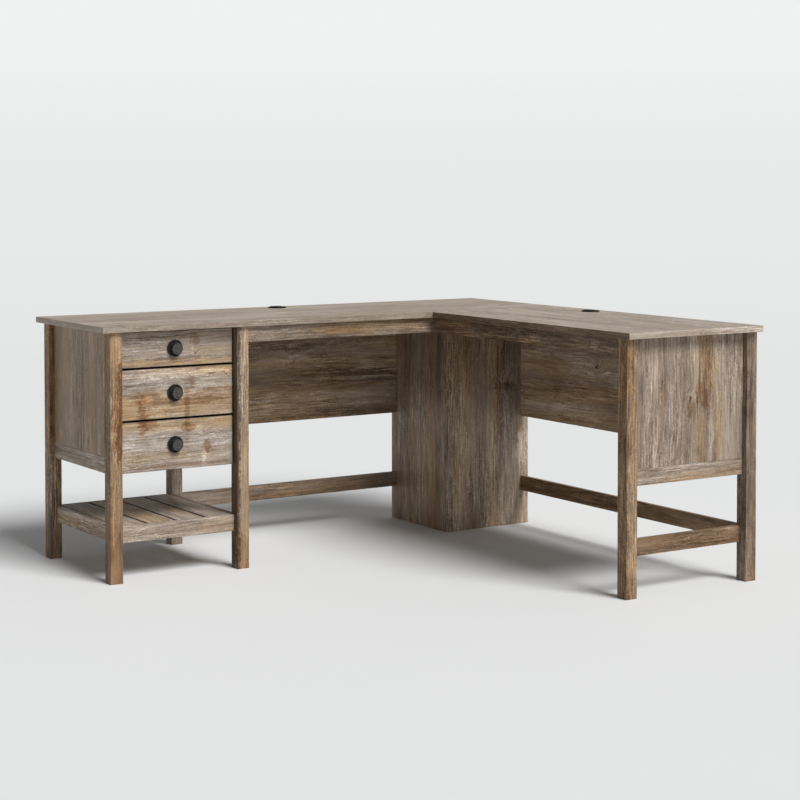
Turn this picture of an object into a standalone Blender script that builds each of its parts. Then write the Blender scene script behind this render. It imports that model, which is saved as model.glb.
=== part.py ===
"""Corner desk: an L-shaped top on posts, with a three-drawer pedestal, two kneeholes and a corner column.

Blender 4.5. Metres, +Z up, floor at z = 0, origin at the middle of the desk's footprint.
The long wing lies along X at the back, the return comes forward along -Y at the right-hand end,
and a person sits in front of the long wing, facing +Y.
"""

import math

import bmesh
import bpy

# ---- driving dimensions ------------------------------------------------------------------------
WIDTH = 1.672  # along the long wing
DEPTH = 1.505  # along the return
HEIGHT = 0.764  # floor to work surface
WING = 0.512  # front to back of either wing
TOP_T = 0.018
POST = 0.040  # square posts
BOARD_T = 0.015  # panels, rails, aprons and stretchers
FIT = 0.0003  # gap left between pieces that touch

END_OVERHANG = 0.027  # top past the posts at the two ends
FRONT_OVERHANG = 0.014  # top past the posts along the inner edges
PANEL_RECESS = 0.0165  # side and back panels, behind the posts' outer faces
APRON_RECESS = 0.003
PEDESTAL_W = 0.462  # outside of the posts
COLUMN_W = 0.343  # each way
BATTEN_W = 0.070  # the batten under the joint in the top
CABLE_STRIP = 0.120  # strip along the back edges that holds the cable holes

# heights of the edges of panels and rails
LOW_RAIL_Z = (0.116, 0.166)
SIDE_RAIL_Z = (0.320, 0.368)
MODESTY_Z = 0.375
APRON_Z = 0.697

# shelf
SHELF_FRONT_RECESS = 0.020
SHELF_SIDE_RECESS = 0.0235
END_STRETCHER_RECESS = POST - BOARD_T
SLAT_COUNT = 4
SLAT_GAP = 0.005
SLAT_T = 0.012

# drawers, each with the heights of its front's lower and upper edge
DRAWERS = {"top": (0.635, 0.742), "middle": (0.4785, 0.630), "bottom": (0.322, 0.4735)}
DRAWER_RECESS = 0.025  # front face behind the posts
DRAWER_SIDE_GAP = 0.0035  # front to post
BOX_SIDE_GAP = 0.005  # drawer side to post
BOX_LENGTH = 0.400
BOX_SIDE_T = 0.012
BOX_LIFT = 0.012  # drawer side above the front's lower edge
BOX_DROP = 0.026  # drawer side below the front's upper edge
BOTTOM_T = 0.005
BOTTOM_LIFT = 0.010  # underside of the bottom above the side's lower edge
GROOVE_DEPTH = 0.005
KNOB_OFFSET = -0.008  # from the pedestal's middle
RUNNER_H = 0.035
RUNNER_T = 0.0120
RUNNER_WALL = 0.0012
RUNNER_LENGTH = 0.405

# knob: radius at each distance from the drawer front
KNOB_PROFILE = (
    (0.0000, 0.0000),
    (0.0240, 0.0000),
    (0.0260, 0.0012),
    (0.0260, 0.0028),
    (0.0245, 0.0040),
    (0.0125, 0.0045),
    (0.0110, 0.0065),
    (0.0115, 0.0095),
    (0.0165, 0.0115),
    (0.0180, 0.0135),
    (0.0180, 0.0205),
    (0.0165, 0.0220),
    (0.0000, 0.0220),
)
KNOB_STEPS = 40

# cable grommets
GROMMET_SETBACK = 0.065  # hole's middle from the back edge
MAIN_GROMMET_FROM_END = 0.831
RETURN_GROMMET_FROM_END = 0.736
GROMMET_HOLE_R = 0.0270
SLEEVE_R = 0.0265
FLANGE_R = 0.0300
FLANGE_T = 0.0030
SLEEVE_BORE_R = 0.0245
SLEEVE_LENGTH = 0.0170
LEDGE_R = 0.0215  # the ledge inside the sleeve that carries the cover
COVER_T = 0.0050
COVER_RISE = 0.0018  # cover's face above the flange
NOTCH_W = 0.018
NOTCH_REACH = 0.010  # from the notch's inner end to the cover's middle
ROUND_STEPS = 48

# ---- colours: linear RGB, roughness, metallic --------------------------------------------------
FINISHES = {
    "top": ((0.36, 0.30, 0.26), 0.55, 0.0),
    "post": ((0.30, 0.22, 0.15), 0.60, 0.0),
    "panel": ((0.22, 0.18, 0.14), 0.60, 0.0),
    "front": ((0.34, 0.28, 0.22), 0.55, 0.0),
    "box": ((0.50, 0.46, 0.40), 0.60, 0.0),
    "knob": ((0.020, 0.018, 0.017), 0.45, 0.9),
    "plastic": ((0.012, 0.011, 0.010), 0.40, 0.0),
    "steel": ((0.55, 0.56, 0.58), 0.35, 1.0),
}

# ---- planes that several pieces share ----------------------------------------------------------
LEFT, RIGHT = -WIDTH / 2, WIDTH / 2
NEAR, BACK = -DEPTH / 2, DEPTH / 2
UNDER_TOP = HEIGHT - TOP_T
MAIN_EDGE = BACK - WING  # long wing's front edge
RETURN_EDGE = RIGHT - WING  # return's inner edge

PED_LEFT = LEFT + END_OVERHANG
PED_RIGHT = PED_LEFT + PEDESTAL_W
PED_FRONT = MAIN_EDGE + FRONT_OVERHANG
BAY_LEFT, BAY_RIGHT = PED_LEFT + POST, PED_RIGHT - POST
BAY_FRONT, BAY_BACK = PED_FRONT + POST, BACK - POST
PED_MIDDLE = (PED_LEFT + PED_RIGHT) / 2

RET_INNER = RETURN_EDGE + FRONT_OVERHANG
RET_NEAR = NEAR + END_OVERHANG
COL_LEFT, COL_FRONT = RIGHT - COLUMN_W, BACK - COLUMN_W


# ---- helpers -----------------------------------------------------------------------------------
def clear_scene():
    for obj in list(bpy.data.objects):
        bpy.data.objects.remove(obj, do_unlink=True)
    for coll in list(bpy.data.collections):
        bpy.data.collections.remove(coll)


def collection(name):
    coll = bpy.data.collections.new(name)
    bpy.context.scene.collection.children.link(coll)
    return coll


def finish(obj, kind):
    """Gives the object its own Principled material."""
    colour, roughness, metallic = FINISHES[kind]
    mat = bpy.data.materials.new(obj.name)
    mat.use_nodes = True
    shader = mat.node_tree.nodes["Principled BSDF"]
    shader.inputs["Base Color"].default_value = (*colour, 1.0)
    shader.inputs["Roughness"].default_value = roughness
    shader.inputs["Metallic"].default_value = metallic
    mat.diffuse_color = (*colour, 1.0)
    obj.data.materials.append(mat)


def add_mesh(name, mesh, place, kind, coll):
    obj = bpy.data.objects.new(name, mesh)
    obj.location = place
    coll.objects.link(obj)
    if kind:
        finish(obj, kind)
    return obj


def cube_mesh(name, size):
    mesh = bpy.data.meshes.new(name)
    bm = bmesh.new()
    bmesh.ops.create_cube(bm, size=1.0)
    bmesh.ops.scale(bm, vec=size, verts=bm.verts)
    bm.to_mesh(mesh)
    bm.free()
    return mesh


def board(name, x, y, z, kind, coll):
    """A box between the given limits on each axis."""
    low = (x[0], y[0], z[0])
    high = (x[1], y[1], z[1])
    size = [h - l for l, h in zip(low, high)]
    middle = [(h + l) / 2 for l, h in zip(low, high)]
    return add_mesh(name, cube_mesh(name, size), middle, kind, coll)


def inside(low, high):
    """The span between two faces, less the gap at each."""
    return (low + FIT, high - FIT)


def turned(name, profile, steps, place, kind, coll):
    """Turns (radius, height) points about Z."""
    mesh = bpy.data.meshes.new(name)
    bm = bmesh.new()
    verts = [bm.verts.new((r, 0.0, h)) for r, h in profile]
    for a, b in zip(verts, verts[1:]):
        bm.edges.new((a, b))
    bm.to_mesh(mesh)
    bm.free()
    obj = add_mesh(name, mesh, place, kind, coll)
    screw = obj.modifiers.new("turn", "SCREW")
    screw.axis = "Z"
    screw.steps = steps
    screw.render_steps = steps
    screw.use_merge_vertices = True
    screw.merge_threshold = 0.00001
    screw.use_normal_calculate = True
    return obj


def turned_ring(name, profile, steps, place, kind, coll):
    """Turns a closed outline of (radius, height) points about Z."""
    return turned(name, profile + profile[:1], steps, place, kind, coll)


def outline(name, points, thickness, place, kind, coll):
    """A flat outline with straight edges, extruded upwards from its place."""
    curve = bpy.data.curves.new(name, "CURVE")
    curve.dimensions = "2D"
    curve.fill_mode = "BOTH"
    curve.extrude = thickness / 2
    spline = curve.splines.new("POLY")
    spline.points.add(len(points) - 1)
    for point, (x, y) in zip(spline.points, points):
        point.co = (x, y, 0.0, 1.0)
    spline.use_cyclic_u = True
    source = bpy.data.objects.new(name + "_outline", curve)
    source.location = (place[0], place[1], place[2] + thickness / 2)
    coll.objects.link(source)
    bpy.context.view_layer.update()
    graph = bpy.context.evaluated_depsgraph_get()
    mesh = bpy.data.meshes.new_from_object(source.evaluated_get(graph))
    bm = bmesh.new()
    bm.from_mesh(mesh)
    bmesh.ops.remove_doubles(bm, verts=bm.verts, dist=0.00001)
    bm.to_mesh(mesh)
    bm.free()
    obj = add_mesh(name, mesh, source.location, kind, coll)
    bpy.data.objects.remove(source, do_unlink=True)
    bpy.data.curves.remove(curve)
    return obj


def cylinder_cutter(name, radius, depth, place, coll):
    mesh = bpy.data.meshes.new(name)
    bm = bmesh.new()
    bmesh.ops.create_cone(
        bm, cap_ends=True, segments=ROUND_STEPS, radius1=radius, radius2=radius, depth=depth
    )
    bm.to_mesh(mesh)
    bm.free()
    return as_cutter(add_mesh(name, mesh, place, None, coll))


def box_cutter(name, x, y, z, coll):
    return as_cutter(board(name, x, y, z, None, coll))


def as_cutter(obj):
    obj.display_type = "WIRE"
    obj.hide_render = True
    return obj


def cut(obj, cutter):
    mod = obj.modifiers.new("cut_" + cutter.name, "BOOLEAN")
    mod.operation = "DIFFERENCE"
    mod.solver = "EXACT"
    mod.object = cutter


# ---- top ---------------------------------------------------------------------------------------
def grommet_places():
    return {
        "main": (LEFT + MAIN_GROMMET_FROM_END, BACK - GROMMET_SETBACK),
        "return": (RIGHT - GROMMET_SETBACK, NEAR + RETURN_GROMMET_FROM_END),
    }


def score(obj, axis, at):
    """Adds an edge loop round a board, at the given place along X (0) or Y (1)."""
    normal = [0.0, 0.0, 0.0]
    normal[axis] = 1.0
    point = [n * (at - obj.location[axis]) for n in normal]
    bm = bmesh.new()
    bm.from_mesh(obj.data)
    geom = bm.verts[:] + bm.edges[:] + bm.faces[:]
    bmesh.ops.bisect_plane(bm, geom=geom, plane_co=point, plane_no=normal)
    bm.to_mesh(obj.data)
    bm.free()


def make_tops(parts, cutters):
    """The long wing's board runs into the corner, and the return's board butts against its edge.

    An edge loop keeps each work surface one whole face, clear of the strip with the cable hole.
    """
    z = (UNDER_TOP, HEIGHT)
    tops = {
        "main": board("main_top", (LEFT, RIGHT), (MAIN_EDGE, BACK), z, "top", parts),
        "return": board(
            "return_top", (RETURN_EDGE, RIGHT), (NEAR, MAIN_EDGE - FIT), z, "top", parts
        ),
    }
    score(tops["main"], 1, BACK - CABLE_STRIP)
    score(tops["return"], 0, RIGHT - CABLE_STRIP)
    for wing, top in tops.items():
        x, y = grommet_places()[wing]
        hole = cylinder_cutter(
            "grommet_hole_" + wing, GROMMET_HOLE_R, 3 * TOP_T, (x, y, HEIGHT), cutters
        )
        cut(top, hole)


def make_grommets(parts, cutters):
    """A flanged sleeve in each hole, and a turning cover with a cable notch on the sleeve's ledge."""
    flange_z = FLANGE_T + FIT
    ledge_z = flange_z + COVER_RISE - COVER_T - FIT
    sleeve = (
        (SLEEVE_BORE_R, ledge_z),
        (LEDGE_R, ledge_z),
        (LEDGE_R, flange_z - SLEEVE_LENGTH),
        (SLEEVE_R, flange_z - SLEEVE_LENGTH),
        (SLEEVE_R, FIT),
        (FLANGE_R, FIT),
        (FLANGE_R, FIT + 0.0010),
        (FLANGE_R - 0.0010, flange_z),
        (SLEEVE_BORE_R, flange_z),
    )
    cover_r = SLEEVE_BORE_R - FIT
    cover = (
        (0.0, 0.0),
        (cover_r, 0.0),
        (cover_r, COVER_T - 0.0010),
        (cover_r - 0.0010, COVER_T),
        (0.0, COVER_T),
    )
    for wing, (x, y) in grommet_places().items():
        turned_ring(
            "grommet_sleeve_" + wing, sleeve, ROUND_STEPS, (x, y, HEIGHT), "plastic", parts
        )
        lid = turned(
            "grommet_cover_" + wing,
            cover,
            ROUND_STEPS,
            (x, y, HEIGHT + ledge_z + FIT),
            "plastic",
            parts,
        )
        notch = box_cutter(
            "cable_notch_" + wing,
            (x + NOTCH_REACH, x + 2 * FLANGE_R),
            (y - NOTCH_W / 2, y + NOTCH_W / 2),
            (UNDER_TOP, HEIGHT + TOP_T),
            cutters,
        )
        cut(lid, notch)


# ---- frame -------------------------------------------------------------------------------------
def make_posts(parts):
    corners = {
        "pedestal_post_front_left": (PED_LEFT, PED_FRONT),
        "pedestal_post_front_right": (BAY_RIGHT, PED_FRONT),
        "pedestal_post_back_left": (PED_LEFT, BAY_BACK),
        "pedestal_post_back_right": (BAY_RIGHT, BAY_BACK),
        "return_post_inner": (RET_INNER, RET_NEAR),
        "return_post_outer": (RIGHT - POST, RET_NEAR),
    }
    for name, (x, y) in corners.items():
        board(name, (x, x + POST), (y, y + POST), (0.0, UNDER_TOP - FIT), "post", parts)


def make_pedestal_sides(parts):
    """A panel over a rail on the outside, and plain panels on the inside and the back."""
    outer = (PED_LEFT + PANEL_RECESS, PED_LEFT + PANEL_RECESS + BOARD_T)
    inner = (PED_RIGHT - PANEL_RECESS - BOARD_T, PED_RIGHT - PANEL_RECESS)
    back = (BACK - PANEL_RECESS - BOARD_T, BACK - PANEL_RECESS)
    along = inside(BAY_FRONT, BAY_BACK)
    over_rail = inside(SIDE_RAIL_Z[1], UNDER_TOP)
    full = (SIDE_RAIL_Z[0], UNDER_TOP - FIT)
    board("pedestal_outer_panel", outer, along, over_rail, "panel", parts)
    board("pedestal_outer_rail", outer, along, SIDE_RAIL_Z, "panel", parts)
    board("pedestal_inner_panel", inner, along, full, "panel", parts)
    board("pedestal_back_panel", inside(BAY_LEFT, BAY_RIGHT), back, full, "panel", parts)


def make_shelf(parts):
    """Four rails between the posts, and slats that fill the frame they make."""
    left = PED_LEFT + SHELF_SIDE_RECESS
    right = PED_RIGHT - SHELF_SIDE_RECESS - BOARD_T
    front = PED_FRONT + SHELF_FRONT_RECESS
    back = BACK - PANEL_RECESS - BOARD_T
    along, across = inside(BAY_FRONT, BAY_BACK), inside(BAY_LEFT, BAY_RIGHT)
    board("shelf_rail_left", (left, left + BOARD_T), along, LOW_RAIL_Z, "panel", parts)
    board("shelf_rail_right", (right, right + BOARD_T), along, LOW_RAIL_Z, "panel", parts)
    board("shelf_rail_front", across, (front, front + BOARD_T), LOW_RAIL_Z, "front", parts)
    board("shelf_rail_back", across, (back, back + BOARD_T), LOW_RAIL_Z, "panel", parts)
    pitch = (BAY_RIGHT - BAY_LEFT - 2 * FIT + SLAT_GAP) / SLAT_COUNT
    run = inside(front + BOARD_T, back)
    for i in range(SLAT_COUNT):
        x = BAY_LEFT + FIT + i * pitch
        slat_z = (LOW_RAIL_Z[1] - SLAT_T, LOW_RAIL_Z[1])
        board(f"shelf_slat_{i + 1}", (x, x + pitch - SLAT_GAP), run, slat_z, "top", parts)


def make_kneeholes(parts):
    """Apron, modesty panel and low stretcher of each wing, and the return's end."""
    apron_z = (APRON_Z, UNDER_TOP - FIT)
    modesty_z = (MODESTY_Z, UNDER_TOP - FIT)
    near_y = PED_FRONT + APRON_RECESS
    near_x = RET_INNER + APRON_RECESS
    board(
        "main_apron",
        (PED_RIGHT + FIT, near_x + BOARD_T),
        (near_y, near_y + BOARD_T),
        apron_z,
        "front",
        parts,
    )
    board(
        "return_apron",
        (near_x, near_x + BOARD_T),
        inside(RET_NEAR + POST, near_y),
        apron_z,
        "front",
        parts,
    )

    main_x = inside(PED_RIGHT, COL_LEFT)
    main_y = (BACK - PANEL_RECESS - BOARD_T, BACK - PANEL_RECESS)
    board("main_modesty_panel", main_x, main_y, modesty_z, "panel", parts)
    board("main_stretcher", main_x, main_y, LOW_RAIL_Z, "panel", parts)

    return_x = (RIGHT - PANEL_RECESS - BOARD_T, RIGHT - PANEL_RECESS)
    return_y = inside(RET_NEAR + POST, COL_FRONT)
    board("return_modesty_panel", return_x, return_y, modesty_z, "panel", parts)
    board("return_stretcher", return_x, return_y, LOW_RAIL_Z, "panel", parts)

    end_x = inside(RET_INNER + POST, RIGHT - POST)
    end_y = (RET_NEAR + PANEL_RECESS, RET_NEAR + PANEL_RECESS + BOARD_T)
    low_y = (RET_NEAR + END_STRETCHER_RECESS, RET_NEAR + POST)
    panel_z = inside(SIDE_RAIL_Z[1], UNDER_TOP)
    board("return_end_panel", end_x, end_y, panel_z, "panel", parts)
    board("return_end_rail", end_x, end_y, SIDE_RAIL_Z, "panel", parts)
    board("return_end_stretcher", end_x, low_y, LOW_RAIL_Z, "panel", parts)


def make_joint_batten(parts):
    """A batten screwed up into both top boards, across their joint."""
    x = inside(RET_INNER + APRON_RECESS + BOARD_T, RIGHT - PANEL_RECESS - BOARD_T)
    y = (MAIN_EDGE - BATTEN_W / 2, MAIN_EDGE + BATTEN_W / 2)
    board("top_joint_batten", x, y, (UNDER_TOP - FIT - BOARD_T, UNDER_TOP - FIT), "panel", parts)


def make_column(parts):
    """Two full-height boards that meet at the column's inner corner."""
    z = (0.0, UNDER_TOP - FIT)
    board(
        "column_front_board",
        (COL_LEFT, RIGHT),
        (COL_FRONT, COL_FRONT + BOARD_T),
        z,
        "panel",
        parts,
    )
    board(
        "column_side_board",
        (COL_LEFT, COL_LEFT + BOARD_T),
        (COL_FRONT + BOARD_T + FIT, BACK),
        z,
        "panel",
        parts,
    )


# ---- drawers -----------------------------------------------------------------------------------
def make_drawer(name, span, parts, cutters):
    """An inset front with two grooved sides, a back and a bottom that slides into the grooves."""
    low, high = span
    front_y = PED_FRONT + DRAWER_RECESS
    front_back = front_y + BOARD_T
    box_front = front_back + FIT
    box_back = box_front + BOX_LENGTH
    box_left, box_right = BAY_LEFT + BOX_SIDE_GAP, BAY_RIGHT - BOX_SIDE_GAP
    box_z = (low + BOX_LIFT, high - BOX_DROP)
    bottom_z = (box_z[0] + BOTTOM_LIFT, box_z[0] + BOTTOM_LIFT + BOTTOM_T)
    in_left, in_right = box_left + BOX_SIDE_T, box_right - BOX_SIDE_T

    front = board(
        "drawer_front_" + name,
        (BAY_LEFT + DRAWER_SIDE_GAP, BAY_RIGHT - DRAWER_SIDE_GAP),
        (front_y, front_back),
        span,
        "front",
        parts,
    )
    left = board(
        "drawer_side_left_" + name, (box_left, in_left), (box_front, box_back), box_z, "box", parts
    )
    right = board(
        "drawer_side_right_" + name, (in_right, box_right), (box_front, box_back), box_z, "box", parts
    )
    board(
        "drawer_back_" + name,
        inside(in_left, in_right),
        (box_back - BOX_SIDE_T, box_back),
        (bottom_z[1] + FIT, box_z[1]),
        "box",
        parts,
    )
    groove_x = (in_left - GROOVE_DEPTH, in_right + GROOVE_DEPTH)
    groove_y = (front_back - GROOVE_DEPTH, box_back + BOX_SIDE_T)
    groove_z = (bottom_z[0] - FIT, bottom_z[1] + FIT)
    groove = box_cutter("bottom_groove_" + name, groove_x, groove_y, groove_z, cutters)
    for piece in (front, left, right):
        cut(piece, groove)
    board(
        "drawer_bottom_" + name,
        inside(*groove_x),
        (groove_y[0] + FIT, box_back),
        bottom_z,
        "box",
        parts,
    )

    knob = turned(
        "drawer_knob_" + name,
        KNOB_PROFILE,
        KNOB_STEPS,
        (PED_MIDDLE + KNOB_OFFSET, front_y - FIT, (low + high) / 2),
        "knob",
        parts,
    )
    knob.rotation_euler = (math.pi / 2, 0.0, 0.0)
    make_runners(name, (box_z[0] + box_z[1]) / 2, box_front, parts)


def make_runners(name, middle_z, front_y, parts):
    """A steel channel on each side of the bay, open towards the drawer."""
    half = RUNNER_H / 2
    lip = 0.006
    channel = (
        (0.0, -half),
        (RUNNER_T, -half),
        (RUNNER_T, -half + lip),
        (RUNNER_T - RUNNER_WALL, -half + lip),
        (RUNNER_T - RUNNER_WALL, -half + RUNNER_WALL),
        (RUNNER_WALL, -half + RUNNER_WALL),
        (RUNNER_WALL, half - RUNNER_WALL),
        (RUNNER_T - RUNNER_WALL, half - RUNNER_WALL),
        (RUNNER_T - RUNNER_WALL, half - lip),
        (RUNNER_T, half - lip),
        (RUNNER_T, half),
        (0.0, half),
    )
    panel_left = PED_LEFT + PANEL_RECESS + BOARD_T + FIT
    panel_right = PED_RIGHT - PANEL_RECESS - BOARD_T - FIT
    for side, x, mirror in (("left", panel_left, 1.0), ("right", panel_right, -1.0)):
        points = [(mirror * px, pz) for px, pz in channel]
        if mirror < 0:
            points.reverse()
        runner = outline(
            f"runner_{side}_{name}", points, RUNNER_LENGTH, (0.0, 0.0, 0.0), "steel", parts
        )
        # the outline lies in XY: stand it up so that its length runs along Y
        runner.rotation_euler = (math.pi / 2, 0.0, 0.0)
        runner.location = (x, front_y + FIT + RUNNER_LENGTH / 2, middle_z)


# ---- the desk ----------------------------------------------------------------------------------
def main():
    clear_scene()
    parts = collection("corner_desk")
    cutters = collection("cutters")
    make_tops(parts, cutters)
    make_grommets(parts, cutters)
    make_posts(parts)
    make_pedestal_sides(parts)
    make_shelf(parts)
    make_kneeholes(parts)
    make_joint_batten(parts)
    make_column(parts)
    for name, span in DRAWERS.items():
        make_drawer(name, span, parts, cutters)
    bpy.context.view_layer.update()


main()
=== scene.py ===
"""Looks of the corner desk: weathered wood foil on its boards, cast knobs, grommets and hardware.

Metres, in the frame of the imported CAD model. Boards keep their CAD meshes, and get softened edges
and wood materials. Knobs and grommets are remade as finer pieces, and small hardware is added.
"""

import math
import random

import bmesh
import bpy
from mathutils import Matrix, Vector, noise


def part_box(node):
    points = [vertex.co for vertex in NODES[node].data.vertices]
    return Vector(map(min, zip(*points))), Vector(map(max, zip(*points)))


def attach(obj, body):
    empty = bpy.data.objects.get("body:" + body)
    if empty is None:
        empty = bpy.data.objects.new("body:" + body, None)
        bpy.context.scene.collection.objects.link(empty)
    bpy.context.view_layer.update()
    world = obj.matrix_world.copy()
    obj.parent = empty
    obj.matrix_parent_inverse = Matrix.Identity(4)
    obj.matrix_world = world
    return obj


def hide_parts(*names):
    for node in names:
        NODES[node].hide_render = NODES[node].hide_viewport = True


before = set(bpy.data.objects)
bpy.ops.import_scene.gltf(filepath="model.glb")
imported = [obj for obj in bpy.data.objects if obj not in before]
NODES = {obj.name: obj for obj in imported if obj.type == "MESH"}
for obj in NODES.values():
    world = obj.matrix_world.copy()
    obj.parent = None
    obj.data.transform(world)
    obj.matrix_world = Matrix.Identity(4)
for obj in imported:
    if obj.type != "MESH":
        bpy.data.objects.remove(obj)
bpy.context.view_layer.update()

X, Y, Z = 0, 1, 2
DRAWER_NAMES = ("top", "middle", "bottom")
WINGS = ("main", "return")
FRAME_BODY = "desk_frame"

# ---- camera, lights and stage ------------------------------------------------------------------
CAMERA_PLACE = (-3.1357, -4.9156, 1.2121)
CAMERA_YAW = 32.876  # degrees clockwise from +Y
CAMERA_PITCH = -1.973  # degrees above the horizon
CAMERA_LENS = 86.13
CAMERA_SENSOR = 36.0
CAMERA_SHIFT = -0.20
CAMERA_REACH = 300.0
KEY_FROM = (0.20, -1.0, 1.02)
KEY_STRENGTH = 3.4
KEY_ANGLE = 28.0  # degrees across: the shadows' softness
FILL_ABOVE = (0.18, 0.180, 0.182)
FILL_LEVEL = (0.425, 0.427, 0.429)
FILL_RISE = 0.75  # how high the level fill has turned into the fill from above
FILL_FROM_RIGHT = 0.62  # the share by which it is stronger from +X and weaker from -X
BACKDROP_LOW = (0.810, 0.816, 0.816)
BACKDROP = (0.876, 0.881, 0.881)
BACKDROP_RISE = 0.075
FLOOR_COLOUR = (0.800, 0.808, 0.806)
FLOOR_SPECKLE = (0.60, 0.61, 0.62)
FLOOR_RADIUS = 90.0
FLOOR_FADE = (0.16, 0.012)  # one over the distances where the floor starts and ends its fade


# ---- shader helpers ----------------------------------------------------------------------------
class Tree:
    """Adds nodes to a node tree and links them."""

    def __init__(self, tree):
        self.tree = tree

    def node(self, kind, **settings):
        node = self.tree.nodes.new("ShaderNode" + kind)
        for key, value in settings.items():
            setattr(node, key, value)
        return node

    def put(self, socket, value):
        """Links a socket to the input, or sets a plain value on it."""
        if isinstance(value, bpy.types.NodeSocket):
            self.tree.links.new(value, socket)
        elif value is not None:
            socket.default_value = value

    def math(self, operation, a, b=None, c=None, clamp=False):
        node = self.node("Math", operation=operation, use_clamp=clamp)
        for socket, value in zip(node.inputs, (a, b, c)):
            self.put(socket, value)
        return node.outputs[0]

    def vector(self, operation, a, b=None):
        node = self.node("VectorMath", operation=operation)
        self.put(node.inputs[0], a)
        if operation == "SCALE":
            self.put(node.inputs["Scale"], b)
        else:
            self.put(node.inputs[1], b)
        length = operation in ("LENGTH", "DISTANCE", "DOT_PRODUCT")
        return node.outputs["Value" if length else "Vector"]

    def split(self, vector):
        node = self.node("SeparateXYZ")
        self.put(node.inputs[0], vector)
        return node.outputs

    def join(self, x, y, z):
        node = self.node("CombineXYZ")
        for socket, value in zip(node.inputs, (x, y, z)):
            self.put(socket, value)
        return node.outputs[0]

    def noise(self, vector, detail=2.0, roughness=0.5, scale=1.0):
        node = self.node("TexNoise")
        self.put(node.inputs["Vector"], vector)
        node.inputs["Scale"].default_value = scale
        node.inputs["Detail"].default_value = detail
        node.inputs["Roughness"].default_value = roughness
        return node.outputs[0]

    def stretched(self, vector, along, across):
        """The vector scaled for a pattern drawn out along the grain."""
        return self.vector("MULTIPLY", vector, (along, across, across))

    def step(self, value, low, high, to_low=0.0, to_high=1.0):
        """A smooth step of the value between low and high."""
        node = self.node("MapRange", interpolation_type="SMOOTHSTEP")
        for key, item in zip(
            ("Value", "From Min", "From Max", "To Min", "To Max"),
            (value, low, high, to_low, to_high),
        ):
            self.put(node.inputs[key], item)
        return node.outputs[0]

    def ramp(self, value, stops):
        node = self.node("ValToRGB")
        self.put(node.inputs[0], value)
        elements = node.color_ramp.elements
        while len(elements) < len(stops):
            elements.new(0.5)
        for element, (place, colour) in zip(elements, stops):
            element.position = place
            element.color = (*colour, 1.0)
        return node.outputs[0]

    def mix(self, share, a, b, blend="MIX"):
        """Mixes two colours."""
        node = self.node("Mix", data_type="RGBA", blend_type=blend)
        for socket, value in zip((node.inputs[0], node.inputs[6], node.inputs[7]), (share, a, b)):
            if isinstance(value, tuple) and len(value) == 3:
                value = (*value, 1.0)
            self.put(socket, value)
        return node.outputs[2]

    def bump(self, height, distance, strength):
        node = self.node("Bump")
        self.put(node.inputs["Height"], height)
        node.inputs["Distance"].default_value = distance
        node.inputs["Strength"].default_value = strength
        return node.outputs[0]


def new_material(name, metallic=0.0, specular=0.5):
    mat = bpy.data.materials.new(name)
    mat.use_nodes = True
    shader = mat.node_tree.nodes["Principled BSDF"]
    shader.inputs["Metallic"].default_value = metallic
    shader.inputs["Specular IOR Level"].default_value = specular
    return mat, Tree(mat.node_tree), shader


# ---- wood --------------------------------------------------------------------------------------
# the foil's colours on its cool and its warm patches, from the darkest grain to the palest
COOL_STOPS = (
    (0.00, (0.044, 0.029, 0.020)),
    (0.25, (0.108, 0.078, 0.056)),
    (0.50, (0.222, 0.171, 0.129)),
    (0.75, (0.372, 0.304, 0.243)),
    (1.00, (0.610, 0.535, 0.465)),
)
WARM_STOPS = (
    (0.00, (0.050, 0.027, 0.014)),
    (0.25, (0.130, 0.073, 0.036)),
    (0.50, (0.258, 0.164, 0.090)),
    (0.75, (0.415, 0.296, 0.176)),
    (1.00, (0.600, 0.480, 0.330)),
)
KNOT_CORE = (0.050, 0.027, 0.016)
KNOT_HALO = (0.200, 0.098, 0.042)
KNOT_CELLS = (3.4, 8.0)  # cells to the metre along and across the grain
KNOT_SWELL = 0.013  # how far a small knot pushes the grain aside
KNOT_RAGGED = 1.1
SMALL_KNOT = 0.9  # a small knot's depth of colour, against a large one's
RING_PITCH = 0.0125
PITH_FOLD = 0.21  # the distance across the grain at which the rings turn back
PITH_ASIDE = 0.10
PITH_DEPTH = (0.070, 0.004)  # how deep the pith lies: the most that it varies, and the least
PITH_DRIFT = 1.3
WANDER = 0.055
WOBBLE = 0.0045
# noises drawn out along the grain: (scale along it, scale across it, detail, roughness)
GRAIN = {
    "wander": (1.1, 3.0, 2.0, 0.5),
    "wobble": (9.0, 18.0, 3.0, 0.5),
    "shown": (2.2, 9.0, 3.0, 0.5),
    "hair": (5.0, 330.0, 2.0, 0.60),
    "fine": (22.0, 210.0, 3.0, 0.70),
    "middle": (3.5, 70.0, 3.0, 0.60),
    "broad": (1.1, 15.0, 2.0, 0.5),
    "smudge": (6.0, 11.0, 4.0, 0.65),
    "sawn": (160.0, 190.0, 2.0, 0.6),
    "checks": (8.0, 190.0, 2.0, 0.5),
    "flecks": (15.0, 170.0, 3.0, 0.6),
    "washed": (2.0, 10.0, 3.0, 0.5),
    "calm": (2.6, 8.0, 3.0, 0.6),
    "patch": (1.3, 13.0, 4.0, 0.65),
}
# those that are moved, so that they don't follow the others
MOVED = {
    "smudge": (2.2, 5.1, 9.4),
    "washed": (3.1, 8.8, 1.2),
    "calm": (5.7, 2.9, 6.6),
    "patch": (7.3, 1.7, 4.1),
}
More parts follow.
